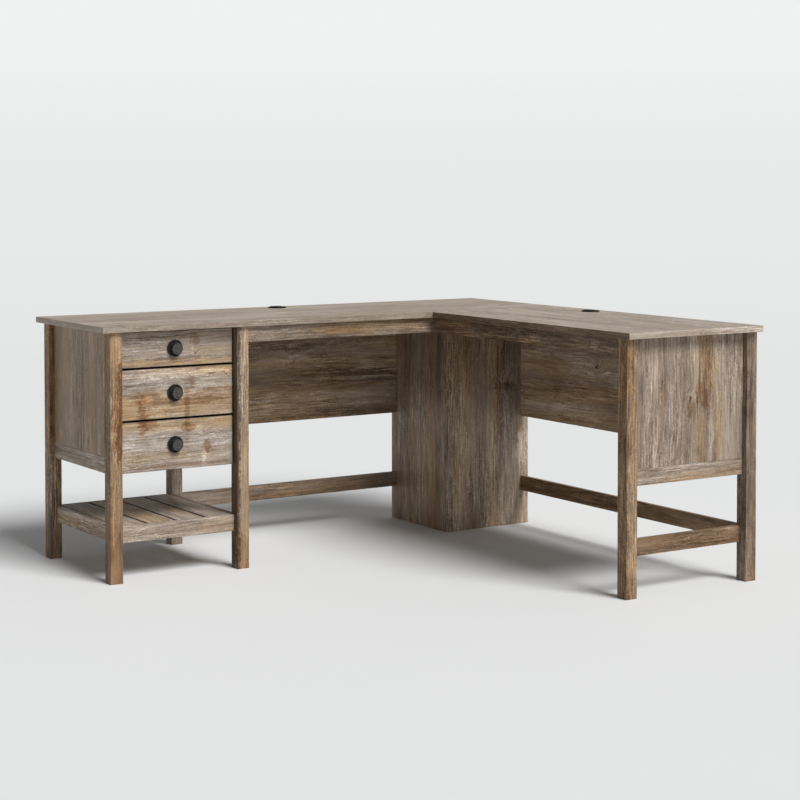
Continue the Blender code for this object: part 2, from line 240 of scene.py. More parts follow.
# where each mark starts, and where it is whole
STEPS = {
    "chosen": (0.72, 0.74),
    "near": (0.11, 0.02),
    "swell": (0.25, 0.02),
    "flank": (0.12, 0.45),
    "late": (0.55, 0.92),
    "ring_end": (1.0, 0.93),
    "shown": (0.44, 0.60),
    "checks": (0.35, 0.29),
    "flecks": (0.59, 0.72),
    "washed": (0.48, 0.62),
    "calm": (0.36, 0.66, 0.38, 1.55),
    "warm": (0.44, 0.66),
    "halo": (0.25, 0.80, 0.0, 0.65),
    "core": (0.70, 0.95, 0.0, 0.85),
}
# how much each mark lightens or darkens the wood
TONE = {
    "hair": 1.00,
    "fine": 1.15,
    "sawn": 0.60,
    "middle": 0.70,
    "broad": 0.75,
    "smudge": 0.50,
    "late": -0.34,
    "checks": -0.26,
    "flecks": 0.34,
}
FLECKS = (0.75, 0.25)  # how much more they show on washed patches, and how much everywhere
RELIEF = {"late": -0.5, "checks": -0.8}  # heights, against the fibres' height of 1
WOOD_ROUGHNESS = (0.30, 0.40)  # how much it varies, and the least


def barnwood_group():
    """The wood. P is (along the grain, across it, through the board) from the board's middle."""
    group = bpy.data.node_groups.new("barnwood", "ShaderNodeTree")
    face = group.interface
    for name, kind in (
        ("P", "NodeSocketVector"),
        ("Seed", "NodeSocketVector"),
        ("Swell", "NodeSocketFloat"),
        ("Knot", "NodeSocketFloat"),
        ("Warm", "NodeSocketFloat"),
        ("Light", "NodeSocketFloat"),
        ("Contrast", "NodeSocketFloat"),
    ):
        face.new_socket(name, in_out="INPUT", socket_type=kind)
    for name, kind in (
        ("Color", "NodeSocketColor"),
        ("Roughness", "NodeSocketFloat"),
        ("Height", "NodeSocketFloat"),
    ):
        face.new_socket(name, in_out="OUTPUT", socket_type=kind)
    source = group.nodes.new("NodeGroupInput").outputs
    result = group.nodes.new("NodeGroupOutput").inputs
    t = Tree(group)

    def grain(name, vector):
        scale_along, scale_across, detail, roughness = GRAIN[name]
        if name in MOVED:
            vector = t.vector("ADD", vector, MOVED[name])
        return t.noise(t.stretched(vector, scale_along, scale_across), detail, roughness)

    def centred(noise):
        return t.math("SUBTRACT", noise, 0.5)

    def graded(name, value):
        return t.step(value, *STEPS[name])

    place = t.vector("ADD", source["P"], source["Seed"])
    along, across, depth = t.split(place)

    # the grain's slow wander and its smaller wobble
    shifted = t.math("MULTIPLY_ADD", centred(grain("wander", place)), WANDER, across)
    shifted = t.math("MULTIPLY_ADD", centred(grain("wobble", place)), WOBBLE, shifted)

    # small knots here and there, which the grain flows round
    cells = t.node("TexVoronoi")
    t.put(cells.inputs["Vector"], t.stretched(place, *KNOT_CELLS))
    cells.inputs["Scale"].default_value = 1.0
    cells.inputs["Randomness"].default_value = 0.5
    chosen = graded("chosen", t.split(cells.outputs["Color"])[0])
    near = t.math("MULTIPLY", graded("near", cells.outputs["Distance"]), chosen)
    swell = t.math("MULTIPLY", graded("swell", cells.outputs["Distance"]), chosen)
    swell = t.math("MULTIPLY_ADD", swell, KNOT_SWELL, source["Swell"])

    # growth rings round a pith that lies under the face, so that they open into arches
    sideways = t.math("PINGPONG", shifted, PITH_FOLD)
    sideways = t.math("SUBTRACT", sideways, PITH_ASIDE)
    under = t.noise(t.join(t.math("MULTIPLY", along, PITH_DRIFT), 0.0, 3.1), 1.0)
    under = t.math("ADD", t.math("MULTIPLY_ADD", under, *PITH_DEPTH), depth)
    radius = t.math("POWER", sideways, 2.0)
    radius = t.math("SQRT", t.math("MULTIPLY_ADD", under, under, radius))
    flank = graded("flank", t.math("DIVIDE", t.math("ABSOLUTE", sideways), radius))
    radius = t.math("ADD", radius, swell)
    phase = t.math("FRACT", t.math("DIVIDE", radius, RING_PITCH))
    late = t.math("MULTIPLY", graded("late", phase), graded("ring_end", phase))
    shown = graded("shown", grain("shown", place))
    late = t.math("MULTIPLY", t.math("MULTIPLY", late, shown), flank)

    # fibres, which follow the same flow
    flow = t.join(along, t.math("ADD", shifted, swell), depth)
    fine, middle = grain("fine", flow), grain("middle", flow)
    checks = graded("checks", grain("checks", flow))
    flecks = graded("flecks", grain("flecks", flow))
    washed = graded("washed", grain("washed", flow))
    flecks = t.math("MULTIPLY", flecks, t.math("MULTIPLY_ADD", washed, *FLECKS))

    # the fine marks come and go over the board, and the broader ones stay
    value = t.math("MULTIPLY", centred(grain("hair", flow)), TONE["hair"])
    value = t.math("MULTIPLY_ADD", centred(fine), TONE["fine"], value)
    value = t.math("MULTIPLY_ADD", centred(grain("sawn", place)), TONE["sawn"], value)
    value = t.math("MULTIPLY", value, graded("calm", grain("calm", place)))
    for name, mark in (
        ("middle", centred(middle)),
        ("broad", centred(grain("broad", flow))),
        ("smudge", centred(grain("smudge", place))),
        ("late", late),
        ("checks", checks),
        ("flecks", flecks),
    ):
        value = t.math("MULTIPLY_ADD", mark, TONE[name], value)
    value = t.math("MULTIPLY_ADD", value, source["Contrast"], 0.5)
    value = t.math("ADD", value, source["Light"], clamp=True)

    warm = graded("warm", t.math("ADD", grain("patch", flow), source["Warm"]))
    colour = t.mix(warm, t.ramp(value, COOL_STOPS), t.ramp(value, WARM_STOPS))

    ragged = t.math("MULTIPLY_ADD", centred(fine), KNOT_RAGGED, source["Knot"])
    knot = t.math("MAXIMUM", t.math("MULTIPLY", near, SMALL_KNOT), ragged)
    colour = t.mix(graded("halo", knot), colour, KNOT_HALO)
    colour = t.mix(graded("core", knot), colour, KNOT_CORE)

    t.put(result["Color"], colour)
    t.put(result["Roughness"], t.math("MULTIPLY_ADD", middle, *WOOD_ROUGHNESS))
    height = t.math("MULTIPLY_ADD", late, RELIEF["late"], fine)
    t.put(result["Height"], t.math("MULTIPLY_ADD", checks, RELIEF["checks"], height))
    return group


# what makes a spot's edge ragged: (scale along the grain, scale across it, detail, amount)
SPOT_RAGGED = ((14.0, 30.0, 3.0, 1.5), (75.0, 110.0, 4.0, 1.9), (16.0, 230.0, 2.0, 1.1))


def spot_group():
    """How near P is to a spot's middle: 1 there and 0 at its ragged edge, or below."""
    group = bpy.data.node_groups.new("spot", "ShaderNodeTree")
    for name in ("P", "Middle", "Size"):
        group.interface.new_socket(name, in_out="INPUT", socket_type="NodeSocketVector")
    group.interface.new_socket("Near", in_out="OUTPUT", socket_type="NodeSocketFloat")
    source = group.nodes.new("NodeGroupInput").outputs
    result = group.nodes.new("NodeGroupOutput").inputs
    t = Tree(group)
    moved = t.vector("SUBTRACT", source["P"], source["Middle"])
    length = t.vector("LENGTH", t.vector("DIVIDE", moved, source["Size"]))
    near = t.math("SUBTRACT", 1.0, length)
    for along, across, detail, amount in SPOT_RAGGED:
        ragged = t.noise(t.stretched(source["P"], along, across), detail, 0.65)
        near = t.math("MULTIPLY_ADD", t.math("SUBTRACT", ragged, 0.5), amount, near)
    t.put(result["Near"], near)
    return group


BARNWOOD = barnwood_group()
SPOT = spot_group()
# the nearness at which each of these starts, and at which it is whole
KNOT_FADE = (0.0, 0.9)
SWELL_FADE = (-2.2, 0.6)
TINT_FADE = (0.08, 0.36)
KNOT_PUSH = 1.3  # how far a knot pushes the grain aside, in half widths of it
EDGE_FADE = (0.2, 0.5)  # how far the face turns towards the edge, where its edge tint starts and ends; on the drawer fronts and the slats that tint is painted shade
WOOD_BUMP = (0.0004, 0.6)
# what a spot does to the wood's red, green and blue
PALE = (1.60, 1.62, 1.66)
GREY = (0.99, 1.05, 1.14)
OCHRE = (1.10, 0.99, 0.77)
RUST = (0.72, 0.56, 0.43)
DEEP_RUST = (0.63, 0.47, 0.35)
UMBER = (0.42, 0.38, 0.35)


def board_coordinates(t, box, grain, width):
    """(along, across, through) from the box's middle. On the ends, the foil runs along the edge."""
    depth = 3 - grain - width
    source = t.node("TexCoord")
    centred = t.vector("SUBTRACT", source.outputs["Object"], tuple((box[0] + box[1]) / 2))
    parts = t.split(centred)
    face = t.join(parts[grain], parts[width], parts[depth])
    end = t.join(parts[width], parts[depth], parts[grain])
    facing = t.math("ABSOLUTE", t.split(source.outputs["Normal"])[grain])
    on_end = t.math("GREATER_THAN", facing, 0.7)
    mixed = t.node("Mix", data_type="VECTOR")
    t.put(mixed.inputs[0], on_end)
    t.put(mixed.inputs[4], face)
    t.put(mixed.inputs[5], end)
    return mixed.outputs[1]


def spot_near(t, place, box, grain, width, share_along, share_across, half_length, half_width):
    """A spot's nearness. It goes right through the board."""
    span = box[1] - box[0]
    middle = ((share_along - 0.5) * span[grain], (share_across - 0.5) * span[width], 0.0)
    through = max(span[3 - grain - width], 0.05) * 4.0
    near = t.node("Group")
    near.node_tree = SPOT
    t.put(near.inputs["P"], place)
    t.put(near.inputs["Middle"], middle)
    t.put(near.inputs["Size"], (half_length, half_width, through))
    return near.outputs[0]


def wood(name, box, grain, width, seed, warm=0.0, light=0.0, contrast=1.0, spots=(), edges=None):
    """Foil-covered board: its grain runs along one axis, and its face is as wide as another.

    A spot is (share along, share across, half length, half width, tint, strength). Its middle is
    a share of the box, and a knot's tint is None.
    """
    mat, t, shader = new_material("wood_" + name, specular=0.35)
    draw = random.Random(seed)
    offset = tuple(draw.uniform(-3.0, 3.0) for _ in range(3))
    place = board_coordinates(t, box, grain, width)
    pattern = t.node("Group")
    pattern.node_tree = BARNWOOD
    t.put(pattern.inputs["P"], place)
    t.put(pattern.inputs["Seed"], offset)
    t.put(pattern.inputs["Warm"], warm)
    t.put(pattern.inputs["Light"], light)
    t.put(pattern.inputs["Contrast"], contrast)
    colour, knots, swells = pattern.outputs["Color"], None, None
    for *extent, tint, strength in spots:
        near = spot_near(t, place, box, grain, width, *extent)
        if tint is None:
            knot = t.step(near, *KNOT_FADE)
            swell = t.step(near, *SWELL_FADE, 0.0, KNOT_PUSH * extent[3])
            knots = knot if knots is None else t.math("MAXIMUM", knots, knot)
            swells = swell if swells is None else t.math("ADD", swells, swell)
        else:
            tinted = t.mix(1.0, colour, tint, "MULTIPLY")
            colour = t.mix(t.step(near, *TINT_FADE, 0.0, strength), colour, tinted)
    # the faces that turn towards the width's edges take the edge tint: on the drawer fronts and the
    # slats it is painted shade in the gaps between them
    if edges:
        normal = t.split(t.node("TexCoord").outputs["Normal"])[width]
        on_edge = t.step(t.math("ABSOLUTE", normal), *EDGE_FADE)
        colour = t.mix(on_edge, colour, t.mix(1.0, colour, edges, "MULTIPLY"))
    if knots is not None:
        t.put(pattern.inputs["Knot"], knots)
        t.put(pattern.inputs["Swell"], swells)
    t.put(shader.inputs["Base Color"], colour)
    t.put(shader.inputs["Roughness"], pattern.outputs["Roughness"])
    t.put(shader.inputs["Normal"], t.bump(pattern.outputs["Height"], *WOOD_BUMP))
    return mat


def soften(obj, radius):
    """Joins the mesh's split corners, drops its flat seams and rounds its edges."""
    weld = obj.modifiers.new("weld", "WELD")
    weld.merge_threshold = 0.00002
    flat = obj.modifiers.new("flat", "DECIMATE")
    flat.decimate_type = "DISSOLVE"
    flat.angle_limit = math.radians(1.0)
    bevel = obj.modifiers.new("bevel", "BEVEL")
    bevel.width = radius
    bevel.segments = 2
    bevel.limit_method = "ANGLE"
    bevel.angle_limit = math.radians(40.0)
    bevel.use_clamp_overlap = True


def dress(node, material, radius):
    obj = NODES[node]
    for slot in obj.material_slots:
        slot.material = material
    soften(obj, radius)


# node: (grain axis, width axis, seed, warm, light, contrast). The light is partly the board's own
# tone and partly painted light and shade: it is raised on boards that fell too dark, such as the
# slats and the pedestal's outer side, and lowered on some that fell too light
BOARDS = {
    "main_top": (X, Y, 11, -0.14, 0.225, 0.64),
    "return_top": (Y, X, 12, -0.12, 0.225, 0.68),
    "pedestal_post_front_left": (Z, X, 21, 0.14, -0.07, 0.85),
    "pedestal_post_front_right": (Z, X, 22, 0.08, 0.12, 0.85),
    "pedestal_post_back_left": (Z, X, 23, 0.13, -0.02),
    "pedestal_post_back_right": (Z, X, 24, 0.04, 0.0),
    "return_post_inner": (Z, X, 25, 0.11, -0.12, 0.8),
    "return_post_outer": (Z, X, 26, 0.10, -0.095, 0.85),
    "pedestal_outer_panel": (Z, Y, 31, 0.0, 0.07, 0.65),
    "pedestal_outer_rail": (Y, Z, 32, 0.03, 0.17, 0.8),
    "pedestal_inner_panel": (Z, Y, 33, 0.0, 0.0),
    "pedestal_back_panel": (X, Z, 34, 0.0, 0.0),
    "shelf_rail_left": (Y, Z, 35, 0.0, 0.13),
    "shelf_rail_right": (Y, Z, 36, 0.0, 0.0),
    "shelf_rail_front": (X, Z, 37, 0.02, 0.145, 0.95),
    "shelf_rail_back": (X, Z, 38, 0.0, 0.0),
    "shelf_slat_1": (Y, X, 41, 0.0, 0.165, 0.85),
    "shelf_slat_2": (Y, X, 42, 0.02, 0.165, 0.85),
    "shelf_slat_3": (Y, X, 43, 0.0, 0.165, 0.85),
    "shelf_slat_4": (Y, X, 44, 0.02, 0.165, 0.85),
    "main_apron": (X, Z, 51, -0.02, -0.06, 0.62),
    "return_apron": (Y, Z, 52, 0.09, -0.30, 0.9),
    "main_modesty_panel": (X, Z, 53, 0.02, 0.02, 0.82),
    "main_stretcher": (X, Z, 54, 0.06, -0.07, 0.85),
    "return_modesty_panel": (Y, Z, 55, 0.08, 0.13, 0.90),
    "return_stretcher": (Y, Z, 56, 0.22, -0.09, 0.72),
    "return_end_panel": (Z, X, 57, -0.09, -0.005, 0.76),
    "return_end_rail": (X, Z, 58, -0.02, 0.02, 0.60),
    "return_end_stretcher": (X, Z, 59, 0.08, -0.19, 0.85),
    "top_joint_batten": (X, Y, 60, 0.0, 0.0),
    "column_front_board": (Z, X, 61, 0.0, 0.02, 0.8),
    "column_side_board": (Z, Y, 62, 0.0, 0.025, 0.8),
}

# spots on those boards, as wood() takes them
# a darker tint, which is painted shade wherever it is used, and a lighter one, which on the
# column's boards is painted light
PAINTED_SHADE = (0.74, 0.71, 0.68)
LIGHTER = (1.36, 1.34, 1.33)
SPOTS = {
    "return_end_panel": (
        (0.50, 0.19, 0.330, 0.026, PALE, 0.50),
        (0.78, 0.64, 0.150, 0.055, OCHRE, 0.80),
        (0.68, 0.66, 0.120, 0.024, RUST, 0.80),
        (0.52, 0.60, 0.060, 0.030, RUST, 0.90),
        (0.42, 0.53, 0.034, 0.026, RUST, 0.90),
        (0.505, 0.515, 0.013, 0.014, None, 1.0),
        (0.47, 0.66, 0.050, 0.040, UMBER, 0.30),
        (0.17, 0.60, 0.150, 0.028, OCHRE, 0.95),
        (0.22, 0.77, 0.150, 0.018, OCHRE, 0.90),
        (0.25, 0.70, 0.130, 0.012, PALE, 0.60),
        (0.22, 0.40, 0.080, 0.070, UMBER, 0.30),
        (0.67, 0.59, 0.060, 0.004, UMBER, 0.80),
        (0.45, 0.57, 0.050, 0.004, UMBER, 0.80),
        (0.60, 0.07, 0.050, 0.004, UMBER, 0.75),
        (0.78, 0.11, 0.040, 0.003, UMBER, 0.75),
        (0.20, 0.36, 0.035, 0.003, UMBER, 0.75),
        (0.40, 0.88, 0.060, 0.003, UMBER, 0.70),
    ),
    "column_front_board": (
        (0.655, 0.74, 0.020, 0.017, None, 1.0),
        (0.645, 0.68, 0.018, 0.060, UMBER, 0.60),
        (0.82, 0.52, 0.190, 0.008, OCHRE, 0.80),
        (0.76, 0.62, 0.070, 0.004, UMBER, 0.80),
        (0.78, 0.70, 0.060, 0.004, UMBER, 0.80),
        (0.30, 0.70, 0.030, 0.003, UMBER, 0.80),
        (0.86, 0.08, 0.130, 0.008, PALE, 0.60),
        # painted shade towards the top, under the desk's top, and painted light towards the floor
        (0.95, 0.50, 0.300, 0.300, PAINTED_SHADE, 0.80),
        (0.10, 0.55, 0.400, 0.300, LIGHTER, 0.85),
        (0.36, 0.92, 0.090, 0.026, PALE, 0.70),
        (0.45, 0.92, 0.020, 0.022, RUST, 0.80),
        (0.22, 0.75, 0.060, 0.020, PALE, 0.35),
    ),
    "column_side_board": (
        # painted shade towards the top, under the desk's top, and painted light towards the floor
        (0.95, 0.50, 0.350, 0.300, PAINTED_SHADE, 1.00),
        (0.15, 0.50, 0.420, 0.300, LIGHTER, 0.90),
        (0.12, 0.10, 0.150, 0.030, OCHRE, 0.50),
    ),
    "main_modesty_panel": (
        (0.50, 0.62, 0.022, 0.014, None, 1.0),
        (0.38, 0.57, 0.190, 0.028, PALE, 0.55),
        (0.55, 0.56, 0.110, 0.020, PALE, 0.50),
        (0.42, 0.66, 0.110, 0.008, UMBER, 0.60),
        (0.72, 0.40, 0.090, 0.060, RUST, 0.50),
        (0.80, 0.28, 0.120, 0.018, OCHRE, 0.60),
        (0.40, 0.10, 0.500, 0.070, LIGHTER, 0.70),
        # painted shade along the top, under the apron
        (0.50, 0.80, 0.600, 0.060, PAINTED_SHADE, 1.00),
    ),
    "return_modesty_panel": (
        # painted shade along the top, under the apron
        (0.50, 0.82, 0.600, 0.055, PAINTED_SHADE, 0.95),
        (0.62, 0.55, 0.020, 0.014, None, 1.0),
        (0.75, 0.80, 0.160, 0.018, UMBER, 0.40),
        (0.60, 0.66, 0.100, 0.010, UMBER, 0.35),
        (0.80, 0.35, 0.040, 0.030, RUST, 0.50),
        (0.50, 0.20, 0.420, 0.070, RUST, 0.42),
    ),
    "pedestal_outer_panel": (
        (0.35, 0.56, 0.260, 0.024, OCHRE, 0.55),
        (0.40, 0.30, 0.220, 0.022, OCHRE, 0.45),
        (0.66, 0.40, 0.008, 0.008, None, 1.0),
        (0.55, 0.85, 0.260, 0.050, PALE, 0.16),
    ),
    "pedestal_post_front_left": (
        (0.93, 0.55, 0.070, 0.050, LIGHTER, 0.80),
        (0.70, 0.80, 0.160, 0.024, DEEP_RUST, 1.00),
        (0.82, 0.95, 0.090, 0.012, DEEP_RUST, 0.80),
        (0.60, 0.65, 0.090, 0.030, RUST, 0.65),
        (0.30, 0.30, 0.200, 0.030, OCHRE, 0.70),
        (0.06, 0.50, 0.130, 0.060, RUST, 0.50),
    ),
    "pedestal_post_front_right": (
        (0.04, 0.60, 0.090, 0.040, RUST, 0.60),
        # painted shade down the post's side beside the drawer fronts, in two strips
        (0.72, 0.02, 0.900, 0.012, UMBER, 1.00),
        (0.50, -0.15, 0.900, 0.014, PAINTED_SHADE, 1.00),
        (0.90, 0.70, 0.300, 0.016, OCHRE, 0.60),
    ),
    "pedestal_post_back_left": (
        (0.10, 0.50, 0.160, 0.060, RUST, 0.45),
        (0.78, 0.50, 0.240, 0.080, RUST, 0.80),
    ),
    "return_post_inner": (
        (0.86, -0.1, 0.120, 0.040, OCHRE, 0.80),
        (0.66, 0.0, 0.060, 0.020, PALE, 0.30),
        (0.60, 0.0, 0.030, 0.022, RUST, 0.60),
        (0.30, 0.30, 0.220, 0.030, OCHRE, 0.60),
    ),
    "return_apron": (
        (0.10, 0.50, 0.350, 0.080, LIGHTER, 0.90),
        (0.70, 0.60, 0.100, 0.014, UMBER, 0.60),
        (0.88, 0.45, 0.060, 0.010, OCHRE, 0.60),
    ),
    "main_apron": (
        (0.45, 0.55, 0.140, 0.016, OCHRE, 0.80),
        (0.05, 0.40, 0.160, 0.030, LIGHTER, 0.45),
    ),
    "main_top": (
        (0.25, 0.35, 0.200, 0.020, GREY, 0.60),
        (0.60, 0.60, 0.260, 0.030, GREY, 0.50),
    ),
}
STACK_BOARD = (X, Z, 73, -0.02, 0.11, 0.64)  # the drawer fronts are cut from one board
STACK_SPOTS = (
    (0.52, 0.692, 0.260, 0.014, PALE, 0.75),
    (0.50, 0.470, 0.450, 0.058, OCHRE, 0.95),
    (0.24, 0.515, 0.060, 0.034, DEEP_RUST, 0.60),
    (0.25, 0.518, 0.022, 0.012, LIGHTER, 0.80),
    (0.19, 0.370, 0.020, 0.075, DEEP_RUST, 0.95),
    (0.24, 0.345, 0.040, 0.022, DEEP_RUST, 0.80),
    (0.588, 0.440, 0.012, 0.110, DEEP_RUST, 0.75),
    (0.634, 0.612, 0.014, 0.022, DEEP_RUST, 0.75),
    (0.590, 0.295, 0.030, 0.018, DEEP_RUST, 0.85),
    (0.740, 0.490, 0.110, 0.010, DEEP_RUST, 0.80),
    (0.860, 0.560, 0.080, 0.008, DEEP_RUST, 0.75),
    (0.50, 0.322, 0.450, 0.022, OCHRE, 0.95),
    (0.50, 0.130, 0.400, 0.070, GREY, 0.95),
    (0.45, 0.170, 0.300, 0.016, PALE, 0.35),
    (0.50, 0.880, 0.350, 0.042, GREY, 0.85),
    (0.50, 0.600, 0.400, 0.030, GREY, 0.70),
    (0.657, 0.935, 0.018, 0.028, DEEP_RUST, 0.75),
    (0.665, 0.826, 0.006, 0.007, None, 1.0),
    (0.640, 0.880, 0.007, 0.028, LIGHTER, 0.90),
    (0.520, 0.800, 0.140, 0.007, UMBER, 0.65),
    (0.20, 0.780, 0.130, 0.014, OCHRE, 0.80),
    (0.945, 0.668, 0.006, 0.006, None, 1.0),
    (0.771, 0.155, 0.014, 0.024, DEEP_RUST, 1.00),
    (0.740, 0.070, 0.010, 0.032, PALE, 0.80),
    (0.740, 0.260, 0.007, 0.008, None, 1.0),
    (0.900, 0.250, 0.006, 0.005, None, 1.0),
    (0.45, 0.032, 0.260, 0.007, DEEP_RUST, 0.70),
)
STACK_GAP_SHADE = (0.06, 0.055, 0.05)  # painted shade: the fronts' edge faces darkened for the shade in the gaps between them
# painted shade: the slats' edge faces darkened for the shade in the gaps between them
SLAT_GAP_SHADE = (0.05, 0.045, 0.04)
EDGES = {"main_top": (0.70, 0.68, 0.66), "return_top": (0.45, 0.37, 0.29)}
EDGES.update({"shelf_slat_%d" % number: SLAT_GAP_SHADE for number in range(1, 5)})
BOARD_EDGE = 0.0010
SLAT_EDGE = 0.0028
FRONT_EDGE = 0.0016
BOX_EDGE = 0.0006
RUNNER_EDGE = 0.0002


def stack_box():
    """The box of all the drawer fronts together."""
    boxes = [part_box("drawer_front_" + name) for name in DRAWER_NAMES]
    low = Vector([min(box[0][i] for box in boxes) for i in range(3)])
    high = Vector([max(box[1][i] for box in boxes) for i in range(3)])
    return low, high


def dress_boards():
    for node, settings in BOARDS.items():
        spots, edges = SPOTS.get(node, ()), EDGES.get(node)
        material = wood(node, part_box(node), *settings, spots=spots, edges=edges)
        dress(node, material, SLAT_EDGE if "slat" in node else BOARD_EDGE)
    stack = wood(
        "drawer_fronts", stack_box(), *STACK_BOARD, spots=STACK_SPOTS, edges=STACK_GAP_SHADE
    )
    for name in DRAWER_NAMES:
        dress("drawer_front_" + name, stack, FRONT_EDGE)


# ---- metal, plastic and plain foil -------------------------------------------------------------
IRON_BLACK = (0.0032, 0.0028, 0.0025)
IRON_GRAIN = 620.0
IRON_DENTS = 210.0
IRON_BUMP = (0.00022, 0.8)
IRON_ROUGHNESS = (0.42, 0.66)
RECESS_FADE = (-0.0006, 0.0004)  # where the painted light on the front faces starts and is whole, past the recess, which stays dark as painted shade


def object_noise(t, scales, detail=2.0, roughness=0.5):
    source = t.node("TexCoord").outputs["Object"]
    return t.noise(t.vector("MULTIPLY", source, scales), detail, roughness)


def knob_iron(name, middle, wear_and_lit_face, recess=0.0):
    """Near-black iron, with painted light: its front faces are lighter outside the recess, and its
    sides and the recess stay near-black as painted shade.
    """
    mat, t, shader = new_material(name, specular=0.45)
    source = t.node("TexCoord")
    moved = t.vector("SUBTRACT", source.outputs["Object"], middle)
    x, _, z = t.split(moved)
    radius = t.vector("LENGTH", t.join(x, 0.0, z))
    # painted light on the faces that look to the front; the sides are left near-black as painted
    # shade
    front = t.step(t.math("ABSOLUTE", t.split(source.outputs["Normal"])[Y]), 0.55, 0.95)
    if recess:
        start, whole = RECESS_FADE
        front = t.math("MULTIPLY", front, t.step(radius, recess + start, recess + whole))
    grain = t.noise(t.vector("SCALE", moved, IRON_GRAIN), 3.0, 0.65)
    dents = t.noise(t.vector("SCALE", moved, IRON_DENTS), 2.0, 0.5)
    face = t.mix(t.step(t.math("ADD", grain, dents), 0.82, 1.18), wear_and_lit_face[0], wear_and_lit_face[1])
    t.put(shader.inputs["Base Color"], t.mix(front, IRON_BLACK, face))
    t.put(shader.inputs["Roughness"], t.step(grain, 0.3, 0.7, *IRON_ROUGHNESS))
    height = t.math("MULTIPLY_ADD", dents, 1.5, grain)
    t.put(shader.inputs["Normal"], t.bump(height, *IRON_BUMP))
    return mat


def plain_material(name, dark, light, rough, scales, bump, metallic=0.0, specular=0.5):
    """Colour and roughness that vary with a fine noise, which also gives the bump."""
    mat, t, shader = new_material(name, metallic, specular)
    grain = object_noise(t, scales, 3.0, 0.6)
    wear_and_lit_face = object_noise(t, (35.0, 35.0, 35.0), 3.0, 0.6)
    share = t.math("ADD", t.step(grain, 0.30, 0.70, 0.0, 0.6), t.step(wear_and_lit_face, 0.35, 0.65, 0.0, 0.4))
    t.put(shader.inputs["Base Color"], t.mix(share, dark, light))
    t.put(shader.inputs["Roughness"], t.step(wear_and_lit_face, 0.30, 0.70, *rough))
    t.put(shader.inputs["Normal"], t.bump(grain, bump, 0.7))
    return mat


# ---- small parts -------------------------------------------------------------------------------
TO_FRONT = Matrix.Rotation(math.radians(90.0), 4, "X")  # turns +Z towards -Y, and +Y up
# degrees past which an edge stays sharp, on each kind of piece
STRAIGHT, TURNED, HAMMERED = 30.0, 40.0, 50.0


def lathe_into(bm, profile, steps, matrix, closed=False, relief=None):
    """Turns a profile of (radius, height) round Z, and puts it where the matrix says."""
    rings = []
    for radius, height in profile:
        count = 1 if radius < 1e-7 else steps
        ring = []
        for k in range(count):
            angle = 2.0 * math.pi * k / steps
            point = Vector((radius * math.cos(angle), radius * math.sin(angle), height))
            if relief:
                point = relief(point, angle)
            ring.append(bm.verts.new(matrix @ point))
        rings.append(ring)
    pairs = list(zip(rings, rings[1:]))
    if closed:
        pairs.append((rings[-1], rings[0]))
    for one, two in pairs:
        for k in range(steps):
            after = (k + 1) % steps
            if len(one) == 1:
                bm.faces.new((one[0], two[k], two[after]))
            elif len(two) == 1:
                bm.faces.new((one[k], one[after], two[0]))
            else:
                bm.faces.new((one[k], one[after], two[after], two[k]))


def extrude_into(bm, outline, low, high, matrix):
    """Extrudes an outline in XZ from one Y to another."""
    ends = [[bm.verts.new(matrix @ Vector((x, y, z))) for x, z in outline] for y in (low, high)]
    bm.faces.new(ends[0])
    bm.faces.new(reversed(ends[1]))
    for k in range(len(outline)):
        after = (k + 1) % len(outline)
        bm.faces.new((ends[0][k], ends[1][k], ends[1][after], ends[0][after]))


def rounded(profile, reach, closed=False, steps=3):
    """The profile with each corner replaced by a short curve."""
    points = [Vector(point) for point in profile]
    result = [] if closed else [points[0]]
    count = len(points)
    for k in range(0 if closed else 1, count if closed else count - 1):
        corner, before, after = points[k], points[k - 1], points[(k + 1) % count]
        start, end = before - corner, after - corner
        start = corner + start.normalized() * min(reach, 0.45 * start.length)
        end = corner + end.normalized() * min(reach, 0.45 * end.length)
        for step in range(steps + 1):
            share = step / steps
            result.append(
                start * (1 - share) ** 2 + corner * 2 * share * (1 - share) + end * share**2
            )
    if not closed:
        result.append(points[-1])
    return [tuple(point) for point in result]


def refined(profile, longest):
    """The profile with points added so that no stretch of it is longer than this."""
    result = [profile[0]]
    for one, two in zip(profile, profile[1:]):
        parts = max(1, math.ceil((Vector(two) - Vector(one)).length / longest))
        for k in range(1, parts + 1):
            result.append(tuple(Vector(one).lerp(Vector(two), k / parts)))
    return result


def add_piece(name, bm, material, body, sharp, bevel=0.0):
    bmesh.ops.recalc_face_normals(bm, faces=bm.faces)
    mesh = bpy.data.meshes.new(name)
    bm.to_mesh(mesh)
    bm.free()
    mesh.shade_smooth()
    mesh.set_sharp_from_angle(angle=math.radians(sharp))
    mesh.materials.append(material)
    piece = bpy.data.objects.new(name, mesh)
    bpy.context.scene.collection.objects.link(piece)
    if bevel:
        soften(piece, bevel)
    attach(piece, body)
    return piece


# profiles of (radius, height above the drawer front)
ROSETTE = (
    (0.0000, 0.0002), (0.0250, 0.0002), (0.0260, 0.0010), (0.0260, 0.0028), (0.0254, 0.0040),
    (0.0234, 0.0040), (0.0226, 0.0016), (0.0150, 0.0016), (0.0125, 0.0050), (0.0000, 0.0050),
)
KNOB_HEAD = (
    (0.0000, 0.0045), (0.0125, 0.0045), (0.0112, 0.0062), (0.0114, 0.0092), (0.0168, 0.0116),
    (0.0180, 0.0132), (0.0180, 0.0200), (0.0174, 0.0216), (0.0160, 0.0218), (0.0155, 0.0210),
    (0.0000, 0.0213),
)
ROSETTE_RECESS = 0.0229
